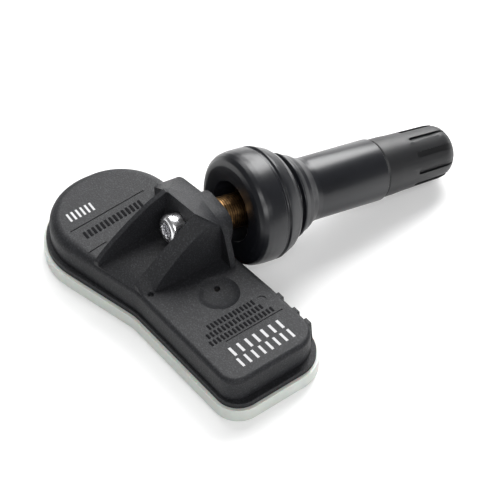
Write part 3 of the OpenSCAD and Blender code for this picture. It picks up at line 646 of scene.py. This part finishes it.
class SENSOR_OT_inside(bpy.types.Operator):
    """Finish the valve core and the electronics, which stay as the frame has them"""
    bl_idname = "sensor.inside"
    bl_label = "Valve core and electronics"

    def execute(self, context):
        core_brass = metal("core_brass", (0.66, 0.42, 0.16), roughness=0.25)
        tin = metal("tinned_strip", (0.62, 0.63, 0.64), roughness=0.3)
        for node, finish in {
            "core_barrel": core_brass,
            "core_pin": core_brass,
            "core_barrel_seal": plain_moulding("white_seal", (0.75, 0.73, 0.68)),
            "core_seal_cup": plain_moulding("cup_rubber", (0.03, 0.03, 0.032)),
            "core_spring": metal("spring_wire", (0.5, 0.5, 0.52), roughness=0.25),
            "cap_seal": plain_moulding("cap_gasket", (0.3, 0.07, 0.05)),
            "circuit_board": plain_moulding("board_laminate", (0.02, 0.14, 0.06), roughness=0.35),
            "sensor_chip": plain_moulding("chip_epoxy", (0.02, 0.02, 0.022)),
            "port_seal": plain_moulding("port_silicone", (0.04, 0.038, 0.036)),
            "wake_up_coil": plain_moulding("coil_winding", (0.2, 0.08, 0.03)),
            "crystal_can": metal("crystal_tin", (0.7, 0.71, 0.72), roughness=0.2),
            "chip_capacitors": plain_moulding("capacitor_ceramic", (0.45, 0.32, 0.15)),
            "loop_antenna": tin,
            "button_cell": metal("cell_steel", (0.6, 0.61, 0.63), roughness=0.28),
            "cell_tab_upper": tin,
            "cell_tab_lower": tin,
        }.items():
            dress(node, finish)
        return {"FINISHED"}


# Stage

def aimed(thing, at, target):
    """Links a light or camera, standing at one point and looking at another."""
    thing.location = at
    thing.rotation_euler = (Vector(target) - Vector(at)).to_track_quat("-Z", "Y").to_euler()
    bpy.context.scene.collection.objects.link(thing)
    return thing


def area_light(name, at, target, size, power):
    """A rectangular lamp."""
    light = bpy.data.lights.new(name, "AREA")
    light.shape = "RECTANGLE"
    light.size, light.size_y = size
    light.energy = power
    return aimed(bpy.data.objects.new(name, light), at, target)


def studio_paper(tone):
    """The floor's paper, which looks white to the camera and to reflections."""
    f = Finish("studio_paper", Roughness=0.9, Specular_IOR_Level=0.1, Emission_Strength=1.0)
    soft = f.noise(0.4, 2)
    seen = f.rays("Is Camera Ray", "Is Glossy Ray", "Is Transmission Ray")
    glow = f.blend(seen, (0, 0, 0, 1), (*FLOOR_GLOW, 1))
    f.paint(Base_Color=f.blend(soft * 0.04, (*tone, 1), (*FLOOR_PALE, 1)), Emission_Color=glow)
    return f.material


def studio_floor(material):
    """A wide level floor just under the object."""
    bm = bmesh.new()
    bmesh.ops.create_grid(bm, x_segments=4, y_segments=4, size=FLOOR_REACH)
    mesh = bpy.data.meshes.new("studio_floor")
    bm.to_mesh(mesh)
    bm.free()
    mesh.materials.append(material)
    floor = bpy.data.objects.new("studio_floor", mesh)
    floor.location.z = -FLOOR_DROP
    bpy.context.scene.collection.objects.link(floor)


def studio_air(strength):
    """The world: even light of the given strength, white where the camera sees it."""
    world = bpy.data.worlds.new("studio_air")
    air = NodeTree(world)
    shown = air.rays("Is Camera Ray") * (1 - strength) + strength
    light = air.add("ShaderNodeBackground", {}, {"Color": (1, 1, 1, 1), "Strength": shown})
    air.add("ShaderNodeOutputWorld", {}, {"Surface": light.outputs[0]})
    return world


class SENSOR_OT_stage(bpy.types.Operator):
    """Lay the floor, set the lights and place the camera"""
    bl_idname = "sensor.stage"
    bl_label = "Studio"

    def execute(self, context):
        scene = context.scene
        settings = scene.sensor_stage
        studio_floor(studio_paper(settings.floor))
        for name, (at, target, size) in LIGHTS.items():
            area_light(f"{name}_light", at, target, size, getattr(settings, f"{name}_power"))
        scene.world = studio_air(settings.air)
        camera = bpy.data.cameras.new("photo_camera")
        camera.lens = CAMERA_LENS
        camera.sensor_width = 36.0
        camera.clip_start = 0.01
        camera.clip_end = 20.0
        scene.camera = aimed(bpy.data.objects.new("photo_camera", camera), CAMERA_AT, CAMERA_AIM)
        scene.view_settings.view_transform = "Standard"
        return {"FINISHED"}


class SENSOR_PT_panel(bpy.types.Panel):
    bl_label = "Tyre pressure sensor"
    bl_idname = "SENSOR_PT_panel"
    bl_space_type = "VIEW_3D"
    bl_region_type = "UI"
    bl_category = "Sensor"

    def draw(self, context):
        layout = self.layout
        for operator in OPERATORS:
            layout.operator(operator.bl_idname)
        for name in SETTINGS:
            group = getattr(context.scene, name)
            for key in group.bl_rna.properties.keys():
                if key not in ("name", "rna_type"):
                    layout.prop(group, key)


OPERATORS = (SENSOR_OT_housing, SENSOR_OT_markings, SENSOR_OT_valve, SENSOR_OT_fasteners,
             SENSOR_OT_inside, SENSOR_OT_stage)
SETTINGS = {"sensor_body": BodySettings, "sensor_valve": ValveSettings, "sensor_stage": StageSettings}


def register():
    for group in (*SETTINGS.values(), *OPERATORS, SENSOR_PT_panel):
        bpy.utils.register_class(group)
    for name, group in SETTINGS.items():
        setattr(bpy.types.Scene, name, bpy.props.PointerProperty(type=group))


def unregister():
    for name in SETTINGS:
        delattr(bpy.types.Scene, name)
    for group in (SENSOR_PT_panel, *reversed(OPERATORS), *SETTINGS.values()):
        bpy.utils.unregister_class(group)


def main():
    register()
    for operator in (bpy.ops.sensor.housing, bpy.ops.sensor.markings, bpy.ops.sensor.valve,
                     bpy.ops.sensor.fasteners, bpy.ops.sensor.inside, bpy.ops.sensor.stage):
        operator()


if __name__ == "__main__":
    main()
